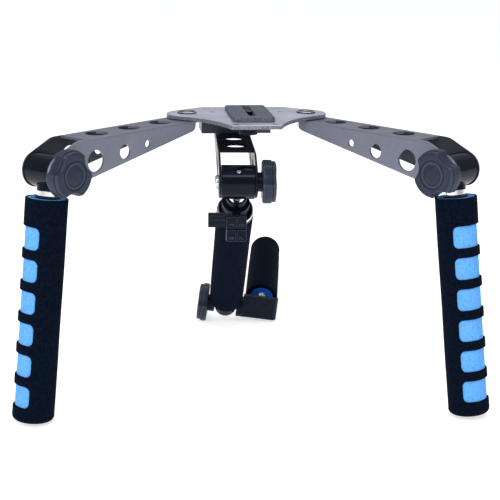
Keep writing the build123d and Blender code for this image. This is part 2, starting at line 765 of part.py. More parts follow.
with BuildPart() as foot_block:
    with BuildSketch(within(foot_at, (0, 0, BLOCK_LOW))):
        with BuildLine():
            Polyline(
                (BLOCK_START, BLOCK_FRONT),
                (BLOCK_END - 2.5, BLOCK_FRONT),
                (BLOCK_END, BLOCK_FRONT + 2.5),
                (BLOCK_END, BLOCK_BACK),
                (BLOCK_START, BLOCK_BACK),
                close=True,
            )
        make_face()
    extrude(amount=BLOCK_HIGH - BLOCK_LOW)
    # the top is only a lip along the front
    with BuildSketch(within(foot_at, (0, 0, BLOCK_STEP))):
        with Locations((BLOCK_END, BLOCK_FRONT + BLOCK_LIP + 20)):
            Rectangle(3 * BLOCK_END, 40)
    extrude(amount=BLOCK_HIGH, mode=Mode.SUBTRACT)
    # a round boss beside the yoke, small enough to turn clear of the strut's foam
    with BuildSketch(within(foot_at, (BOSS_START, 0, 0), x_dir=(0, 1, 0), z_dir=(1, 0, 0))):
        Circle(BOSS_R)
    extrude(amount=BLOCK_START + 2 - BOSS_START)
    # a pocket, open at the back, for the head of the hinge bolt
    with BuildSketch(within(foot_at, (0, BLOCK_BACK, 0), z_dir=(0, 1, 0))):
        with Locations(((POCKET_START + POCKET_END) / 2, 0)):
            Rectangle(POCKET_END - POCKET_START, 14)
    extrude(amount=-(BLOCK_BACK + 6), mode=Mode.SUBTRACT)
    with BuildSketch(within(foot_at, (BOSS_START, 0, 0), x_dir=(0, 1, 0), z_dir=(1, 0, 0))):
        Circle(BOLT_R + RUN)
    extrude(amount=POCKET_START - BOSS_START, mode=Mode.SUBTRACT)
    # two finger grooves along the front
    for z in (12.5, 9.0):
        groove_at = within(
            foot_at, (BLOCK_START, BLOCK_FRONT, z), x_dir=(0, 1, 0), z_dir=(1, 0, 0)
        )
        with BuildSketch(groove_at):
            Rectangle(2.0, 1.2)
        extrude(amount=BLOCK_END - BLOCK_START, mode=Mode.SUBTRACT)
    # the threaded hole for the roller's axle
    with BuildSketch(within(foot_at, (ROLLER_X, BLOCK_BACK, ROLLER_Z), z_dir=(0, 1, 0))):
        Circle(AXLE_R)
    extrude(amount=-10, mode=Mode.SUBTRACT)
keep(foot_block.part, "foot_block")

with BuildPart() as foot_bolt:
    with BuildSketch(
        within(yoke_at, (-FOOT_BOLT_END, 0, 0), x_dir=(0, 1, 0), z_dir=(1, 0, 0))
    ):
        Circle(BOLT_R)
    extrude(amount=FOOT_BOLT_END + POCKET_START + 0.3)
    with BuildSketch(
        within(yoke_at, (POCKET_START + 0.3, 0, 0), x_dir=(0, 1, 0), z_dir=(1, 0, 0))
    ):
        RegularPolygon(5.5, 6)
    extrude(amount=4)
keep(foot_bolt.part, "foot_bolt")

# the foot's knob rests with a scallop downwards, clear of the floor
knob_side = within(yoke_at, x_dir=(-1, 0, 0), z_dir=(0, 0, 1))
down = knob_side.to_local_coords(knob_side.origin - Vector(0, 0, 1))
scallop_down = atan2(down.Z, down.Y) * 180 / pi
clamp_knob(knob_side, FOOT_KNOB_BACK, FOOT_KNOB_T, "foot_knob", scallop_down)
knob_hub(knob_side, YOKE_R + FACE_GAP, FOOT_KNOB_BACK, "foot_knob_hub")

# ------------------------------------------------------------------------------ roller
roller_at = within(foot_at, (ROLLER_X, ROLLER_NEAR, ROLLER_Z), z_dir=(0, 1, 0))
axle_start = BLOCK_BACK - 10 - ROLLER_NEAR
keep(rod(roller_at.offset(axle_start), AXLE_R, ROLLER_LENGTH + 8.5 - axle_start), "roller_axle")
keep(rod(roller_at.offset(BLOCK_BACK - ROLLER_NEAR), 6.2, 3.6, AXLE_R, 0.5), "roller_collar")
keep(rod(roller_at, ROLLER_CORE_R, ROLLER_LENGTH, AXLE_R + RUN), "roller_core")
keep(rod(roller_at, GRIP_R, ROLLER_LENGTH, ROLLER_CORE_R + 0.1, edge=1.5), "roller_foam")
with BuildPart() as roller_nut:
    with BuildSketch(roller_at.offset(ROLLER_LENGTH + 0.4)):
        Circle(9)
        Circle(AXLE_R, mode=Mode.SUBTRACT)
    extrude(amount=1.5)
    with BuildSketch(roller_at.offset(ROLLER_LENGTH + 1.9)):
        RegularPolygon(7.5, 6)
        Circle(AXLE_R, mode=Mode.SUBTRACT)
    extrude(amount=6)
keep(roller_nut.part, "roller_nut")
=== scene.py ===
import json
from math import cos, pi, radians, sin

import bmesh
import bpy
import numpy as np
from mathutils import Matrix, Vector


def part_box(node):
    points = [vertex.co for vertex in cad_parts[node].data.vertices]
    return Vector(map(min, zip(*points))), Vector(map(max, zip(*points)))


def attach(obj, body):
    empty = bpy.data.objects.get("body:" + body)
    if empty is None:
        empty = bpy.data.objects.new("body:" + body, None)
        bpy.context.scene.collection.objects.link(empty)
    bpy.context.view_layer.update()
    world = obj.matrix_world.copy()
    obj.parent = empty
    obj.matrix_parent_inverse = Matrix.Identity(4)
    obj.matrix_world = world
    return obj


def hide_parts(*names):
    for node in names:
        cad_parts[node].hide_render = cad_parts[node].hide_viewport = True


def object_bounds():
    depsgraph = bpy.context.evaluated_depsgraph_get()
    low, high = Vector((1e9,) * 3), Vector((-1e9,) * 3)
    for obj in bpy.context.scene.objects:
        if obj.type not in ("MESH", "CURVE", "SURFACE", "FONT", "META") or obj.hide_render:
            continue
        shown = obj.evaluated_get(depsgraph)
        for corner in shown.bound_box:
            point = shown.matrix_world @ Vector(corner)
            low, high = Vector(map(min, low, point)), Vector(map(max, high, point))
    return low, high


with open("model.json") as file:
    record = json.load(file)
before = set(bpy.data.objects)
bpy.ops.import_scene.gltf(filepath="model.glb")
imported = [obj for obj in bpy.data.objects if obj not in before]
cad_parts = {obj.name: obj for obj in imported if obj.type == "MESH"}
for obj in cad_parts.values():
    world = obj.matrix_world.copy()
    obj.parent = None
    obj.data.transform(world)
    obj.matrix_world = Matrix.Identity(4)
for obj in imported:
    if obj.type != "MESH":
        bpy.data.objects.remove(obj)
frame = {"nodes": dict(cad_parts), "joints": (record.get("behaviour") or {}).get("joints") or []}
cad_low, cad_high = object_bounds()

MM = 0.001

# Handles and foams: distances are measured down the handle from its clamp's axis
GRIP_TOP = 21.0 * MM
GRIP_BOTTOM = 202.0 * MM
GRIP_R = 17.0 * MM
SKIN_T = 2.0 * MM
SKIN_EDGE = 0.7 * MM
LOWER_ROUND = 4.0 * MM
SKIN_SWELL = 0.10 * MM
SKIN_TWIST = 70.0
WINDOW_COUNT = 6
WINDOW_HEIGHT = 19.0 * MM
WINDOW_PITCH = 25.6 * MM
WINDOW_FIRST = GRIP_TOP + 22.0 * MM
WINDOW_ARC = radians(170)
WINDOW_CORNER = 5.0 * MM
WINDOW_WALL = 1.1 * MM
WINDOW_FROM = {"left": radians(134.3), "right": radians(18.6)}
TUBE_R = 9.6 * MM
PLUG_R = 7.6 * MM

# Foams of the rear leg
FOAM_TOP = 46.3 * MM
FOAM_END = 193.7 * MM
FOAM_BORE = 13.1 * MM
FOAM_EDGE = 2.2 * MM
FOAM_WAVE = 0.08 * MM
FOAM_TWIST = 55.0
ROLLER_LENGTH = 150.0 * MM
CORE_BORE = 4.3 * MM

# Knobs
KNOB_R = 19.5 * MM
SCALLOP_R = 17.0 * MM
SCALLOP_AT = 32.0 * MM
LOBE_ROUND = 0.9 * MM
FACE_CROWN = 0.06 * MM

# Small screws
BARREL_R = 13.5 * MM
REAR_BARREL_R = 15.0 * MM
GRUB_R = 2.1 * MM
PIVOT_HEAD_R = 8.5 * MM
PIVOT_BRIGHT_R = 4.0 * MM
ARM_SHEET = 2.2 * MM

# The dark parts' reflections are a little blue
COOL_TINT = (0.72, 0.82, 1.0, 1)

# Edges of the copied hard pieces
SAME_POINT = 2e-6
FLAT_WITHIN = radians(0.6)
SHARP_FROM = radians(32)
BEVEL_FROM = radians(42)

# Floor, camera and lights
FLOOR_SIZE = 60.0
CAMERA_AT = (-0.1193, -0.9417, 0.1438)
CAMERA_PITCH = radians(-15.94)
CAMERA_YAW = radians(7.40)
CAMERA_ROLL = radians(0.89)
CAMERA_LENS = 78.13
SENSOR = 36.0
FLOOR_GLOW = 0.6
SKY = 0.45


# ---------------------------------------------------------------------------- geometry
def smooth_step(value):
    """0 below 0, 1 above 1, and an even S-curve between: 3v squared less 2v cubed."""
    v = np.clip(value, 0, 1)
    return v * v * (3 - 2 * v)


def joint(name):
    return next(j for j in frame["joints"] if j["name"] == name)


def stand(origin, up, side):
    """A matrix whose Z runs along up, and whose X is side made square to it."""
    z = Vector(up).normalized()
    x = (Vector(side) - z * Vector(side).dot(z)).normalized()
    y = z.cross(x)
    turned = Matrix((x, y, z)).transposed().to_4x4()
    return Matrix.Translation(Vector(origin)) @ turned


def placed(points, place):
    """Points in a piece's own coordinates, carried into the frame."""
    m = np.array(place)
    return points @ m[:3, :3].T + m[:3, 3]


def piece_from(name, points, faces, place=None):
    """A mesh object from points and faces, at the origin, smooth except over sharp edges."""
    if place is not None:
        points = placed(points, place)
    mesh = bpy.data.meshes.new(name)
    mesh.from_pydata(points.tolist(), [], faces)
    mesh.validate()
    repaired = bmesh.new()
    repaired.from_mesh(mesh)
    bmesh.ops.recalc_face_normals(repaired, faces=repaired.faces)
    repaired.to_mesh(mesh)
    repaired.free()
    piece = bpy.data.objects.new(name, mesh)
    bpy.context.scene.collection.objects.link(piece)
    mesh.shade_smooth()
    mesh.set_sharp_from_angle(angle=radians(38))
    return piece


def ring_faces(rings, around, first=0, wrap=False):
    """Quads between neighbouring rings of points. With wrap the last ring meets the first."""
    index = first + np.arange(rings * around).reshape(rings, around)
    low = index if wrap else index[:-1]
    high = np.roll(index, -1, axis=0) if wrap else index[1:]
    quads = np.stack([low, np.roll(low, -1, 1), np.roll(high, -1, 1), high], axis=-1)
    return quads.reshape(-1, 4).tolist()


def sleeve(name, radius, height, place):
    """A closed ring-shaped surface. radius and height are grids, one row for each place
    along the profile and one column for each angle round Z. The last row joins the first."""
    rows, around = radius.shape
    angle = np.linspace(0, 2 * pi, around, endpoint=False)[None, :]
    points = np.stack([radius * np.cos(angle), radius * np.sin(angle), height], axis=-1)
    return piece_from(name, points.reshape(-1, 3), ring_faces(rows, around, wrap=True), place)


def turned(name, profile, place, around=96):
    """A solid of revolution: the profile's (radius, height) points run from the axis to the
    axis again, or close on themselves as a ring when none of them is on the axis."""
    profile = np.array(profile, float)
    if profile[:, 0].min() > 0:
        grid = np.repeat(profile[:, None, :], around, axis=1)
        return sleeve(name, grid[..., 0], grid[..., 1], place)
    inner = profile[1:-1]
    angle = np.linspace(0, 2 * pi, around, endpoint=False)[None, :]
    points = np.stack(
        [
            inner[:, :1] * np.cos(angle),
            inner[:, :1] * np.sin(angle),
            np.repeat(inner[:, 1:], around, axis=1),
        ],
        axis=-1,
    ).reshape(-1, 3)
    poles = np.array([[0, 0, profile[0, 1]], [0, 0, profile[-1, 1]]])
    faces = ring_faces(len(inner), around)
    last = (len(inner) - 1) * around
    start, end = len(points), len(points) + 1
    for k in range(around):
        after = (k + 1) % around
        faces.append([start, after, k])
        faces.append([end, last + k, last + after])
    return piece_from(name, np.vstack([points, poles]), faces, place)


def arc(centre, radius, start, stop, steps=6):
    """Points of a profile on part of a circle, from one angle to another in degrees."""
    angle = np.radians(np.linspace(start, stop, steps))
    return [(centre[0] + radius * cos(a), centre[1] + radius * sin(a)) for a in angle]


def softened(node, edge):
    """A copy of a CAD node with its loose triangles joined, its flat faces made whole and
    its sharp edges rounded, which takes the node's place."""
    mesh = frame["nodes"][node].data.copy()
    work = bmesh.new()
    work.from_mesh(mesh)
    bmesh.ops.remove_doubles(work, verts=work.verts, dist=SAME_POINT)
    bmesh.ops.dissolve_limit(
        work, angle_limit=FLAT_WITHIN, verts=work.verts, edges=work.edges
    )
    work.to_mesh(mesh)
    work.free()
    piece = bpy.data.objects.new(f"{node}_finished", mesh)
    bpy.context.scene.collection.objects.link(piece)
    mesh.shade_smooth()
    mesh.set_sharp_from_angle(angle=SHARP_FROM)
    bevel = piece.modifiers.new("edge", "BEVEL")
    bevel.width = edge
    bevel.segments = 2
    bevel.limit_method = "ANGLE"
    bevel.angle_limit = BEVEL_FROM
    evened = piece.modifiers.new("normals", "WEIGHTED_NORMAL")
    evened.keep_sharp = True
    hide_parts(node)
    return piece


# --------------------------------------------------------------------------- materials
def node_material(name, colour, roughness, metallic=0.0, specular=0.5):
    """A material, its shader and its node tree, with the plain values set."""
    material = bpy.data.materials.new(name)
    material.use_nodes = True
    tree = material.node_tree
    shader = tree.nodes["Principled BSDF"]
    shader.inputs["Base Color"].default_value = (*colour, 1)
    shader.inputs["Roughness"].default_value = roughness
    shader.inputs["Metallic"].default_value = metallic
    shader.inputs["Specular IOR Level"].default_value = specular
    if not metallic:
        shader.inputs["Specular Tint"].default_value = COOL_TINT
    return material, shader, tree


def noise(tree, scale, detail=3.0, rough=0.55, stretch=None):
    """A noise texture on Object coordinates; stretch scales each axis before it."""
    coordinates = tree.nodes.new("ShaderNodeTexCoord")
    source = coordinates.outputs["Object"]
    if stretch:
        mapping = tree.nodes.new("ShaderNodeMapping")
        mapping.inputs["Scale"].default_value = stretch
        tree.links.new(source, mapping.inputs["Vector"])
        source = mapping.outputs["Vector"]
    texture = tree.nodes.new("ShaderNodeTexNoise")
    texture.inputs["Scale"].default_value = scale
    texture.inputs["Detail"].default_value = detail
    texture.inputs["Roughness"].default_value = rough
    tree.links.new(source, texture.inputs["Vector"])
    return texture


def ramp(tree, source, low, high, start=0.3, stop=0.7):
    """Two colours or greys spread over part of a texture's range."""
    node = tree.nodes.new("ShaderNodeValToRGB")
    node.color_ramp.elements[0].position = start
    node.color_ramp.elements[0].color = (*low, 1)
    node.color_ramp.elements[1].position = stop
    node.color_ramp.elements[1].color = (*high, 1)
    tree.links.new(source, node.inputs["Fac"])
    return node.outputs["Color"]


def bump(tree, shader, height, strength, distance):
    node = tree.nodes.new("ShaderNodeBump")
    node.inputs["Strength"].default_value = strength
    node.inputs["Distance"].default_value = distance
    tree.links.new(height, node.inputs["Height"])
    tree.links.new(node.outputs["Normal"], shader.inputs["Normal"])


def painted_edge_highlight(tree, colour, highlight_colour, amount):
    """Painted highlight: the colour turned lighter where the surface is convex, for the light that
    edges catch.
    """
    geometry = tree.nodes.new("ShaderNodeNewGeometry")
    edge = ramp(tree, geometry.outputs["Pointiness"], (0, 0, 0), (amount,) * 3, 0.52, 0.60)
    mix = tree.nodes.new("ShaderNodeMix")
    mix.data_type = "RGBA"
    tree.links.new(edge, mix.inputs["Factor"])
    tree.links.new(colour, mix.inputs["A"])
    mix.inputs["B"].default_value = (*highlight_colour, 1)
    return mix.outputs["Result"]


def grained(
    name, dark, light, roughness, metallic, scale, depth, spread=0.12, highlight_colour=None, specular=0.5
):
    """A finish with a fine grain: colour, gloss and bump all follow one fine noise, and a
    broad one drifts the roughness."""
    material, shader, tree = node_material(name, light, roughness, metallic, specular)
    fine = noise(tree, scale)
    colour = ramp(tree, fine.outputs["Fac"], dark, light)
    # Painted highlight on convex edges when a highlight colour is given.
    if highlight_colour:
        colour = painted_edge_highlight(tree, colour, highlight_colour, 0.6)
    tree.links.new(colour, shader.inputs["Base Color"])
    broad = noise(tree, 38.0, 2.0)
    low = max(roughness - spread, 0.03)
    gloss = ramp(tree, broad.outputs["Fac"], (low,) * 3, (roughness + spread,) * 3)
    tree.links.new(gloss, shader.inputs["Roughness"])
    bump(tree, shader, fine.outputs["Fac"], 0.5, depth)
    return material


def foam(name, dark, light, cell=1500.0, depth=0.00025):
    """Closed-cell foam: small rounded cells and a mottled colour, with hardly any gloss."""
    material, shader, tree = node_material(name, light, 0.92, specular=0.04)
    coordinates = tree.nodes.new("ShaderNodeTexCoord")
    cells = tree.nodes.new("ShaderNodeTexVoronoi")
    cells.inputs["Scale"].default_value = cell
    tree.links.new(coordinates.outputs["Object"], cells.inputs["Vector"])
    mottle = noise(tree, 520.0, 4.0, 0.65)
    tree.links.new(
        ramp(tree, mottle.outputs["Fac"], dark, light, 0.36, 0.66),
        shader.inputs["Base Color"],
    )
    add = tree.nodes.new("ShaderNodeMath")
    add.operation = "ADD"
    tree.links.new(cells.outputs["Distance"], add.inputs[0])
    tree.links.new(mottle.outputs["Fac"], add.inputs[1])
    bump(tree, shader, add.outputs["Value"], 0.6, depth)
    return material


def polished(name, colour, roughness, scratches=0.06):
    """Bright metal with faint turning marks in its gloss."""
    material, shader, tree = node_material(name, colour, roughness, 1.0)
    marks = noise(tree, 900.0, 2.0, 0.5, (1, 1, 9))
    gloss = ramp(tree, marks.outputs["Fac"], (roughness,) * 3, (roughness + scratches,) * 3)
    tree.links.new(gloss, shader.inputs["Roughness"])
    bump(tree, shader, marks.outputs["Fac"], 0.15, 0.00003)
    return material


PLATE = grained(
    "blasted_aluminium", (0.50, 0.51, 0.61), (0.64, 0.65, 0.77), 0.42, 0.75, 1400, 0.00004
)
# Painted shade: a darker copy of the plate's metal, put on its upright faces so that they look shaded
# beside the brightly lit top.
PLATE_SIDE_SHADE = grained(
    "plate_side_painted_shade", (0.10, 0.10, 0.13), (0.30, 0.31, 0.37), 0.50, 0.6, 900, 0.00008
)
ARM_PAINT = grained(
    "graphite_paint", (0.155, 0.163, 0.212), (0.200, 0.209, 0.262), 0.40, 0.35, 1100, 0.00004
)
# Painted shade: a darker copy of the arm paint for the channel's inner faces and the web's underside,
# which face away from the light.
ARM_INSIDE_SHADE = grained(
    "graphite_painted_shade", (0.026, 0.029, 0.044), (0.038, 0.042, 0.060), 0.45, 0.2, 1100, 0.00004
)
# The rear arm is coloured near black, far darker than the front arms' paint.
REAR_ARM_DARK = grained(
    "rear_arm_near_black", (0.003, 0.004, 0.010), (0.006, 0.008, 0.016), 0.28, 0.0, 1100, 0.00004,
    specular=0.22,
)
# The bracket is coloured a dark grey, far darker than the front arms' paint.
BRACKET_DARK = grained(
    "bracket_dark_grey", (0.026, 0.030, 0.048), (0.042, 0.047, 0.068), 0.38, 0.3, 1100, 0.00004
)
# Painted highlight: a lighter colour for the bevelled rims of the front arms, standing in for the
# light that their edges catch.
ARM_RIM_HIGHLIGHT = grained(
    "arm_rim_painted_highlight", (0.22, 0.23, 0.28), (0.36, 0.37, 0.44), 0.38, 0.5, 1500, 0.00003
)
# Painted highlight: a colour lighter than the dark parts' faces, for the bevelled rims of the rear
# arm, the bracket, the foot block and the clip, standing in for light caught on their edges.
DARK_RIM_HIGHLIGHT = grained(
    "dark_rim_painted_highlight", (0.030, 0.036, 0.055), (0.060, 0.070, 0.100), 0.35, 0.0, 1500, 0.00003
)
PAD = grained(
    "pad_rubber", (0.050, 0.054, 0.072), (0.170, 0.178, 0.225), 0.62, 0.0, 900, 0.0005, specular=0.3
)
BLACK_GLOSS = grained(
    "black_gloss", (0.0010, 0.0018, 0.0060), (0.0022, 0.0032, 0.0090), 0.15, 0.0, 500, 0.00001,
    0.04, specular=0.20,
)
# Painted highlight: the knobs' convex edges are coloured much lighter, standing in for the light
# their rims catch.
KNOB_PLASTIC = grained(
    "knob_plastic", (0.017, 0.022, 0.038), (0.026, 0.033, 0.052), 0.36, 0.0, 1300, 0.00005,
    highlight_colour=(0.14, 0.15, 0.19), specular=0.2,
)
DARK_PLASTIC = grained(
    "dark_plastic", (0.0030, 0.0050, 0.0110), (0.0065, 0.0095, 0.0180), 0.30, 0.0, 1100, 0.00004,
    specular=0.12,
)
BLACK_PLASTIC = grained(
    "black_plastic", (0.002, 0.003, 0.007), (0.004, 0.005, 0.010), 0.28, 0.0, 900, 0.00003,
    specular=0.18,
)
DARK_WASHER = grained(
    "black_washer", (0.004, 0.004, 0.008), (0.010, 0.010, 0.014), 0.45, 0.0, 900, 0.00003
)
STEEL = polished("plated_steel", (0.66, 0.67, 0.71), 0.20)
CHROME = polished("chrome", (0.86, 0.87, 0.90), 0.06, 0.04)
TUBE = grained(
    "black_tube", (0.004, 0.005, 0.009), (0.009, 0.010, 0.015), 0.30, 0.0, 700, 0.00002
)
FOAM_BLACK = foam("foam_black", (0.0010, 0.0030, 0.0085), (0.0042, 0.0080, 0.0190))
FOAM_BLUE = foam("foam_blue", (0.100, 0.35, 0.82), (0.165, 0.47, 0.94), depth=0.0001)
FOAM_END_BLUE = foam("foam_end_blue", (0.012, 0.10, 0.50), (0.020, 0.15, 0.66), depth=0.0001)


def finish(piece, material, body=None):
    """The material and the body that a piece rides on."""
    piece.data.materials.clear()
    piece.data.materials.append(material)
    if body:
        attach(piece, body)
    return piece


def paint(node, material):
    """A CAD node that stays gets its material."""
    mesh_object = frame["nodes"][node]
    mesh_object.data.materials.clear()
    mesh_object.data.materials.append(material)


# ------------------------------------------------------------------------- hand grips
def window_mask(angle, depth, start):
    """1 inside the finger windows and 0 outside them, with a wall between. A window is a
    rounded rectangle on the unrolled grip; the mask comes from the distance to its edge."""
    middle = start + WINDOW_ARC / 2
    across = ((angle - middle + pi) % (2 * pi) - pi) * GRIP_R
    mask = np.zeros(np.broadcast(angle, depth).shape)
    for index in range(WINDOW_COUNT):
        centre = WINDOW_FIRST + WINDOW_HEIGHT / 2 + index * WINDOW_PITCH
        dx = np.abs(across) - (GRIP_R * WINDOW_ARC / 2 - WINDOW_CORNER)
        dy = np.abs(depth - centre) - (WINDOW_HEIGHT / 2 - WINDOW_CORNER)
        outside = np.hypot(np.maximum(dx, 0), np.maximum(dy, 0)) - WINDOW_CORNER
        distance = outside + np.minimum(np.maximum(dx, dy), 0)
        mask = np.maximum(mask, smooth_step(-distance / WINDOW_WALL))
    return mask


def dense_lines(low, high, step, marks, reach, fine):
    """Evenly spaced values, and closer ones near each mark."""
    lines = [np.arange(low, high, step), [high]]
    for mark in marks:
        lines.append(np.arange(mark - reach, mark + reach, fine))
    lines = np.unique(np.round(np.concatenate(lines), 7))
    return lines[(lines >= low) & (lines <= high)]


def grip_skin(side, place):
    """The black foam sleeve. Its outer radius dips below the core's in the windows; its rims
    are rounded, and it closes at the bottom round the end plug."""
    edges = [
        WINDOW_FIRST + index * WINDOW_PITCH + shift
        for index in range(WINDOW_COUNT)
        for shift in (0, WINDOW_HEIGHT)
    ]
    depth = dense_lines(
        GRIP_TOP + SKIN_EDGE, GRIP_BOTTOM - LOWER_ROUND, 1.0 * MM, edges, 1.6 * MM, 0.2 * MM
    )
    around = 260
    angle = np.linspace(0, 2 * pi, around, endpoint=False)[None, :]
    mask = window_mask(angle, depth[:, None], WINDOW_FROM[side])
    swell = SKIN_SWELL * np.sin(3 * angle + depth[:, None] * SKIN_TWIST)
    outer = GRIP_R - 0.15 * MM + swell - mask * (SKIN_T + 0.5 * MM)
    inner_r = GRIP_R - SKIN_T - 1.0 * MM
    top = arc((GRIP_R - SKIN_EDGE - 0.1 * MM, -GRIP_TOP - SKIN_EDGE), SKIN_EDGE, 180, 20, 8)
    low = arc(
        (GRIP_R - LOWER_ROUND - 0.1 * MM, -GRIP_BOTTOM + LOWER_ROUND), LOWER_ROUND, -8, -90, 9
    )
    rest = [
        (PLUG_R + 0.6 * MM, -GRIP_BOTTOM),
        (PLUG_R, -GRIP_BOTTOM + 0.6 * MM),
        (PLUG_R, -GRIP_BOTTOM + SKIN_T),
        (inner_r, -GRIP_BOTTOM + SKIN_T),
        (inner_r, -GRIP_TOP - 2 * MM),
    ]
    def flat(profile, column):
        return np.repeat(np.array(profile)[:, column][:, None], around, axis=1)

    radius = np.vstack([flat(top, 0), outer, flat(low + rest, 0)])
    height = np.vstack(
        [flat(top, 1), np.repeat(-depth[:, None], around, axis=1), flat(low + rest, 1)]
    )
    piece = sleeve(f"{side}_grip_foam", radius, height, place)
    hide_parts(f"{side}_grip_skin")
    return finish(piece, FOAM_BLACK, f"{side}_grip")


def grip_core(side, place):
    """The blue foam inside: a tube with a flat top face, which swells a little where a
    finger window lets it."""
    depth = np.linspace(GRIP_TOP + 0.5 * MM, GRIP_BOTTOM - 2.4 * MM, 180)
    around = 120
    angle = np.linspace(0, 2 * pi, around, endpoint=False)[None, :]
    mask = window_mask(angle, depth[:, None], WINDOW_FROM[side])
    outer = GRIP_R - SKIN_T - 0.1 * MM + 0.35 * MM * mask
    height = np.repeat(-depth[:, None], around, axis=1)
    bore = np.full((2, around), TUBE_R + 0.1 * MM)
    bore_height = np.repeat([[-depth[-1]], [-depth[0] + 0.1 * MM]], around, axis=1)
    rim = np.full((1, around), GRIP_R - SKIN_T - 0.6 * MM)
    rim_height = np.full((1, around), -GRIP_TOP - 0.1 * MM)
    piece = sleeve(
        f"{side}_grip_core_foam",
        np.vstack([rim, outer, bore]),
        np.vstack([rim_height, height, bore_height]),
        place,
    )
    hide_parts(f"{side}_grip_core")
    return finish(piece, FOAM_BLUE, f"{side}_grip")


def foam_tube(name, start, end, place):
    """A plain foam tube with rounded rims, whose side waves by a tenth of a millimetre."""
    around = 160
    depth = np.linspace(start + FOAM_EDGE, end - FOAM_EDGE, 60)
    angle = np.linspace(0, 2 * pi, around, endpoint=False)[None, :]
    wave = FOAM_WAVE * np.sin(2 * angle + depth[:, None] * FOAM_TWIST)
    outer = GRIP_R - 0.1 * MM + wave
    first = arc((GRIP_R - FOAM_EDGE - 0.1 * MM, -start - FOAM_EDGE), FOAM_EDGE, 90, 8, 8)
    last = arc((GRIP_R - FOAM_EDGE - 0.1 * MM, -end + FOAM_EDGE), FOAM_EDGE, -8, -90, 8)
    last += [(FOAM_BORE, -end), (FOAM_BORE, -start)]
    grid = [np.repeat(np.array(part)[:, None, :], around, axis=1) for part in (first, last)]
    radius = np.vstack([grid[0][..., 0], outer, grid[1][..., 0]])
    height = np.vstack(
        [grid[0][..., 1], np.repeat(-depth[:, None], around, axis=1), grid[1][..., 1]]
    )
    return sleeve(name, radius, height, place)


def hand_grip(side):
    turn = joint(f"{side}_grip_turn")
    knob = joint(f"{side}_knob_turn")
    place = stand(turn["pos_m"], turn["axis"], knob["axis"])
    grip_skin(side, place)
    grip_core(side, place)
    plug = [(0, -GRIP_BOTTOM + 0.9 * MM), (5.6 * MM, -GRIP_BOTTOM + 0.9 * MM)]
    plug += [(6.2 * MM, -GRIP_BOTTOM + 0.3 * MM), (7.0 * MM, -GRIP_BOTTOM + 0.3 * MM)]
    plug += [(7.4 * MM, -GRIP_BOTTOM + 0.8 * MM), (7.4 * MM, -GRIP_BOTTOM + 2.0 * MM)]
    plug += [(0, -GRIP_BOTTOM + 2.0 * MM)]
    piece = turned(f"{side}_end_plug_dished", plug, place)
    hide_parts(f"{side}_end_plug")
    finish(piece, KNOB_PLASTIC, f"{side}_grip")


for grip_side in ("left", "right"):
    hand_grip(grip_side)


# ------------------------------------------------------------------------ rear leg foam
def rear_leg_foam():
    swivel = joint("foot_swivel")
    tilt = joint("rear_strut_tilt")
    place = stand(tilt["pos_m"], swivel["axis"], tilt["axis"])
    piece = foam_tube("strut_foam_sleeve", FOAM_TOP, FOAM_END, place)
    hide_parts("strut_foam")
    finish(piece, FOAM_BLACK, "strut")


def roller():
    turn = joint("roller_turn")
    away = -Vector(turn["axis"])
    place = stand(turn["pos_m"], away, (0, 0, 1))
    piece = foam_tube("roller_foam_sleeve", 0, ROLLER_LENGTH, place)
    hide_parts("roller_foam")
    finish(piece, FOAM_BLACK, "roller")
    ends = [(CORE_BORE, 0), (12.4 * MM, 0), (FOAM_BORE - 0.1 * MM, -0.6 * MM)]
    ends += [(FOAM_BORE - 0.1 * MM, -ROLLER_LENGTH + 0.6 * MM)]
    ends += [(12.4 * MM, -ROLLER_LENGTH), (CORE_BORE, -ROLLER_LENGTH)]
    piece = turned("roller_core_foam", ends, place)
    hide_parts("roller_core")
    finish(piece, FOAM_END_BLUE, "roller")
    washer = [(4.5 * MM, 0.05 * MM), (7.6 * MM, 0.05 * MM), (7.4 * MM, 0.35 * MM)]
    washer += [(4.5 * MM, 0.35 * MM)]
    finish(turned("roller_end_washer", washer, place), CHROME, "roller")


rear_leg_foam()
roller()


# ------------------------------------------------------------------------------- knobs
def scalloped(angle, first):
    """The knob's radius round its face: a circle cut by three circles. Along a ray at an
    angle a from a cut's centre, the cut lies at d cos a less the root of r squared less
    (d sin a) squared. A soft minimum of that and the circle rounds the lobes' corners."""
    third = 2 * pi / 3
    away = (angle - first + third / 2) % third - third / 2
    inside = SCALLOP_R**2 - (SCALLOP_AT * np.sin(away)) ** 2
    cut = SCALLOP_AT * np.cos(away) - np.sqrt(np.maximum(inside, 0))
    cut = np.where(inside > 0, cut, KNOB_R + 2 * LOBE_ROUND)
    blend = np.clip(0.5 + 0.5 * (cut - KNOB_R) / LOBE_ROUND, 0, 1)
    return cut * (1 - blend) + KNOB_R * blend - LOBE_ROUND * blend * (1 - blend)


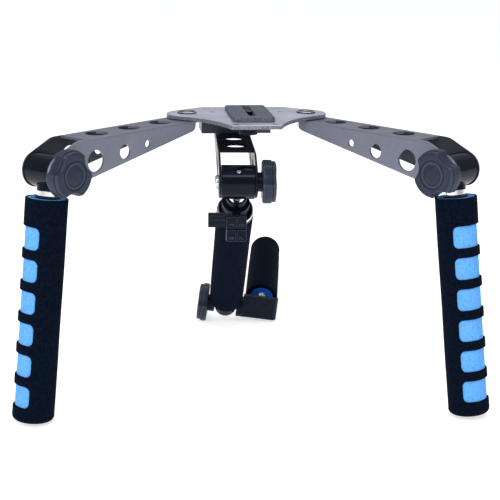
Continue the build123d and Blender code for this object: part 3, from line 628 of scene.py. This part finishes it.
def clamp_knob(name, node, joint_name, back, thick, first):
    """A moulded knob: each row of the profile is an inset from the scalloped outline and a
    height, from the back face round the rim, past a groove, over the front face's edge."""
    turn = joint(joint_name)
    axis = Vector(turn["axis"])
    box_low, box_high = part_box(node)
    centre = (box_low + box_high) / 2
    if (centre - Vector(turn["pos_m"])).dot(axis) < 0:
        axis = -axis
    place = stand(turn["pos_m"], axis, (0, 0, 1))
    rear_edge = np.array([(9.0, 0.0), (1.6, 0.0), (0.6, 0.3), (0.1, 1.0), (0.0, 1.8)]) * MM
    groove = [(0.0, -4.6), (0.15, -4.1), (0.6, -3.75), (1.25, -3.6), (1.45, -3.5)]
    groove += [(1.45, -3.2), (1.1, -3.0)]
    front_edge = [(1.1, -1.5), (1.35, -0.8), (1.9, -0.3), (2.8, -0.05), (3.6, 0.0)]
    front_part = np.array(groove + front_edge) * MM + (0, thick)
    side = np.vstack([rear_edge, front_part])
    around = 192
    angle = np.linspace(0, 2 * pi, around, endpoint=False)[None, :]
    outline = scalloped(angle, first)
    radius = outline - side[:, :1]
    height = np.repeat(back + side[:, 1:], around, axis=1)
    # the front face's round features don't follow the scallops
    front = back + thick
    disc = [(11.9, 0), (11.6, -0.65), (10.7, -0.65), (10.4, -0.05), (8.6, -0.05), (8.2, -0.45)]
    disc += [(7.4, -0.45), (7.0, -0.12), (3.0, 0.05)]
    disc = np.array(disc) * MM + (0, front)
    radius = np.vstack([radius, np.repeat(disc[:, :1], around, axis=1)])
    height = np.vstack([height, np.repeat(disc[:, 1:], around, axis=1)])
    points = np.stack([radius * np.cos(angle), radius * np.sin(angle), height], axis=-1)
    points = points.reshape(-1, 3)
    faces = ring_faces(len(radius), around)
    last = (len(radius) - 1) * around
    poles = np.array([[0, 0, back], [0, 0, front + FACE_CROWN]])
    for k in range(around):
        after = (k + 1) % around
        faces.append([len(points), after, k])
        faces.append([len(points) + 1, last + k, last + after])
    piece = piece_from(name, np.vstack([points, poles]), faces, place)
    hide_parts(node)
    return finish(piece, KNOB_PLASTIC, node)


# each knob's back face and thickness along its axis, and where its first scallop is
knobs = (
    ("left", 18 * MM, 12 * MM, radians(56)),
    ("right", 18 * MM, 12 * MM, radians(83)),
    ("rear", 21 * MM, 12 * MM, radians(60)),
    ("foot", 18 * MM, 10 * MM, radians(180)),
)
for clamp, knob_back, knob_thick, first_scallop in knobs:
    clamp_knob(
        f"{clamp}_clamp_knob", f"{clamp}_knob", f"{clamp}_knob_turn", knob_back, knob_thick,
        first_scallop,
    )


# ------------------------------------------------------------------------- small screws
def grub_screw(name, place, barrel_r, body):
    """A grub screw a little below the barrel's top, with a round socket in its end."""
    profile = [(0, barrel_r - 2.6 * MM), (1.15 * MM, barrel_r - 2.6 * MM)]
    profile += [(1.15 * MM, barrel_r - 0.9 * MM), (1.25 * MM, barrel_r - 0.7 * MM)]
    profile += [(1.8 * MM, barrel_r - 0.7 * MM), (GRUB_R, barrel_r - 1.0 * MM)]
    profile += [(GRUB_R, barrel_r - 3.6 * MM), (0, barrel_r - 3.6 * MM)]
    finish(turned(name, profile, place, 48), STEEL, body)


for grip_side in ("left", "right"):
    grip_turn = joint(f"{grip_side}_grip_turn")
    handle_at = stand(grip_turn["pos_m"], grip_turn["axis"], joint(f"{grip_side}_knob_turn")["axis"])
    grub_screw(f"{grip_side}_grub_screw", handle_at, BARREL_R, f"{grip_side}_handle")
strut_place = stand(
    joint("rear_strut_tilt")["pos_m"], joint("foot_swivel")["axis"], joint("rear_strut_tilt")["axis"]
)
grub_screw("rear_grub_screw", strut_place, REAR_BARREL_R, "strut")


def pivot_rim(name, node, joint_name):
    """A thin black ring that caps the outer part of a pivot screw's head."""
    at = Vector(joint(joint_name)["pos_m"])
    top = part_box(node)[1].z
    place = Matrix.Translation((at.x, at.y, top))
    profile = [(PIVOT_BRIGHT_R, -0.3 * MM), (PIVOT_BRIGHT_R + 0.2 * MM, 0.2 * MM)]
    profile += [(PIVOT_HEAD_R - 1.3 * MM, 0.15 * MM), (PIVOT_HEAD_R - 0.1 * MM, -0.5 * MM)]
    profile += [(PIVOT_HEAD_R + 0.2 * MM, -1.3 * MM), (PIVOT_HEAD_R - 0.4 * MM, -1.3 * MM)]
    profile += [(PIVOT_HEAD_R - 1.8 * MM, -0.3 * MM)]
    finish(turned(name, profile, place, 72), BLACK_GLOSS, "base")


pivot_rim("left_pivot_rim", "front_pivot_screws", "left_arm_swing")
pivot_rim("right_pivot_rim", "front_pivot_screws", "right_arm_swing")
pivot_rim("rear_pivot_rim", "rear_pivot_screw", "rear_arm_swing")


# ------------------------------------------------------------------------ hard surfaces
hard = [
    ("top_plate", PLATE, "plate_metal", "base", 0.3),
    ("camera_pad", PAD, "pad_rubber", "base", 0.3),
    ("rear_bracket", BRACKET_DARK, "arm_paint", "base", 0.35),
    ("left_arm", ARM_PAINT, "arm_paint", "left_arm", 0.3),
    ("right_arm", ARM_PAINT, "arm_paint", "right_arm", 0.3),
    ("rear_arm", REAR_ARM_DARK, "arm_paint", "rear_arm", 0.3),
    ("left_barrel", BLACK_GLOSS, "black_gloss", "left_handle", 0.25),
    ("right_barrel", BLACK_GLOSS, "black_gloss", "right_handle", 0.25),
    ("rear_barrel", BLACK_GLOSS, "black_gloss", "strut", 0.25),
    ("foot_yoke", BLACK_GLOSS, "black_gloss", "foot_yoke", 0.2),
    ("foot_block", DARK_PLASTIC, "knob_plastic", "foot", 0.35),
    ("cable_clip", DARK_PLASTIC, "knob_plastic", "strut", 0.3),
    ("clip_jaws", DARK_PLASTIC, "knob_plastic", "strut", 0.3),
    ("strut_neck", BLACK_PLASTIC, "black_plastic", "strut", 0.3),
    ("cap_ring", CHROME, "bright_chrome", "strut", 0.15),
    ("left_lock_ring", CHROME, "bright_chrome", "left_grip", 0.2),
    ("right_lock_ring", CHROME, "bright_chrome", "right_grip", 0.2),
    ("strut_lock_ring", CHROME, "bright_chrome", "strut", 0.2),
    ("front_pivot_screws", STEEL, "screw_steel", "base", 0.12),
    ("rear_pivot_screw", STEEL, "screw_steel", "base", 0.12),
    ("pivot_nuts", STEEL, "screw_steel", "base", 0.25),
    ("left_clamp_bolt", STEEL, "screw_steel", "left_arm", 0.12),
    ("right_clamp_bolt", STEEL, "screw_steel", "right_arm", 0.12),
    ("rear_clamp_bolt", STEEL, "screw_steel", "rear_arm", 0.12),
    ("camera_screw", BLACK_GLOSS, "black_gloss", "camera_screw", 0.15),
    ("rear_pivot_spacer", DARK_WASHER, "black_washer", "base", 0.3),
]
for node, material, slot_name, body, edge in hard:
    finish(softened(node, edge * MM), material, body)


def side_material(name, material):
    """A piece's upright faces get a second material."""
    mesh = bpy.data.objects[name].data
    mesh.materials.append(material)
    for face in mesh.polygons:
        if abs(face.normal.z) < 0.5:
            face.material_index = 1


# Painted shade on the plate's upright faces.
side_material("top_plate_finished", PLATE_SIDE_SHADE)


def shade_inner_faces(side, material):
    """Painted shade: the channel's inner faces get a second, darker material that stands in for the
    shade inside the channel: the flanges' faces that look at each other, and the web's underside."""
    mesh = bpy.data.objects[f"{side}_arm_finished"].data
    pivot = Vector(joint(f"{side}_arm_swing")["pos_m"])
    across = Vector(joint(f"{side}_knob_turn")["axis"])
    across.z = 0
    across.normalize()
    web_top = max(vertex.co.z for vertex in mesh.vertices)
    mesh.materials.append(material)
    for face in mesh.polygons:
        offset = (face.center - pivot).dot(across)
        facing = face.normal.dot(across)
        looks_in = abs(facing) > 0.8 and offset * facing < 0
        under_web = face.normal.z < -0.8 and face.center.z > web_top - 1.5 * ARM_SHEET
        if looks_in or under_web:
            face.material_index = 1


# Painted shade inside the front arms' channels.
shade_inner_faces("left", ARM_INSIDE_SHADE)
shade_inner_faces("right", ARM_INSIDE_SHADE)

# Painted highlights: each piece's bevelled rims get the lighter rim colour.
rims = {
    ARM_RIM_HIGHLIGHT: ("left_arm", "right_arm"),
    DARK_RIM_HIGHLIGHT: ("rear_arm", "rear_bracket", "foot_block", "cable_clip", "clip_jaws"),
}
for material, nodes in rims.items():
    for node in nodes:
        rounded = bpy.data.objects[f"{node}_finished"]
        rounded.data.materials.append(material)
        rounded.modifiers["edge"].material = len(rounded.data.materials) - 1

plain = {
    STEEL: ("plate_screws", "foot_bolt", "roller_axle", "lower_washers", "screw_guide", "roller_nut"),
    DARK_WASHER: ("front_upper_washers", "screw_collar"),
    CHROME: ("roller_collar", "left_stem", "right_stem", "strut_stem"),
    TUBE: ("left_grip_tube", "right_grip_tube", "strut_tube"),
    BLACK_PLASTIC: ("left_knob_hub", "right_knob_hub", "rear_knob_hub", "foot_knob_hub"),
    FOAM_END_BLUE: ("strut_foam_core",),
}
for material, nodes in plain.items():
    for node in nodes:
        paint(node, material)


# ------------------------------------------------------------------------------- scene
def studio():
    """A pale glowing floor, a soft sky, three large lights and one small one."""
    floor_z = cad_low.z - 0.0002
    half = FLOOR_SIZE / 2
    corners = np.array([(-half, -half, 0), (half, -half, 0), (half, half, 0), (-half, half, 0)])
    corners[:, 2] = floor_z
    mesh = bpy.data.meshes.new("floor")
    mesh.from_pydata(corners.tolist(), [], [(0, 1, 2, 3)])
    floor = bpy.data.objects.new("floor", mesh)
    bpy.context.scene.collection.objects.link(floor)
    material, shader, tree = node_material("floor_white", (0.93, 0.93, 0.94), 0.9)
    shader.inputs["Specular IOR Level"].default_value = 0.1
    shader.inputs["Emission Color"].default_value = (1, 1, 1, 1)
    shader.inputs["Emission Strength"].default_value = FLOOR_GLOW
    mesh.materials.append(material)
    world = bpy.data.worlds.new("studio")
    world.use_nodes = True
    background = world.node_tree.nodes["Background"]
    background.inputs["Color"].default_value = (0.93, 0.96, 1.0, 1)
    background.inputs["Strength"].default_value = SKY
    bpy.context.scene.world = world
    target = (cad_low + cad_high) / 2
    lights = (
        ("key", (-1.0, -1.3, 0.9), 1.2, 16.0),
        ("fill", (1.4, -0.9, 0.5), 1.0, 3.5),
        ("top", (0.2, 0.7, 1.5), 1.1, 8.0),
        ("strip", (0.0, -1.1, 1.3), 0.35, 2.0),
    )
    for name, at, size, power in lights:
        data = bpy.data.lights.new(name, "AREA")
        data.energy = power
        data.size = size
        lamp = bpy.data.objects.new(name, data)
        lamp.location = at
        lamp.rotation_euler = (target - Vector(at)).to_track_quat("-Z", "Y").to_euler()
        bpy.context.scene.collection.objects.link(lamp)


def camera():
    """The camera looks along +Y, turned by its yaw, pitched down and rolled a little."""
    forward = Vector(
        (
            sin(CAMERA_YAW) * cos(CAMERA_PITCH),
            cos(CAMERA_YAW) * cos(CAMERA_PITCH),
            sin(CAMERA_PITCH),
        )
    )
    level = Vector((cos(CAMERA_YAW), -sin(CAMERA_YAW), 0))
    above = level.cross(forward)
    right = level * cos(CAMERA_ROLL) + above * sin(CAMERA_ROLL)
    up = above * cos(CAMERA_ROLL) - level * sin(CAMERA_ROLL)
    data = bpy.data.cameras.new("camera")
    data.lens = CAMERA_LENS
    data.sensor_width = SENSOR
    seen_from = bpy.data.objects.new("camera", data)
    seen_from.matrix_world = Matrix.Translation(CAMERA_AT) @ Matrix(
        (right, up, -forward)
    ).transposed().to_4x4()
    bpy.context.scene.collection.objects.link(seen_from)
    bpy.context.scene.camera = seen_from


studio()
camera()
bpy.context.scene.view_settings.view_transform = "Standard"
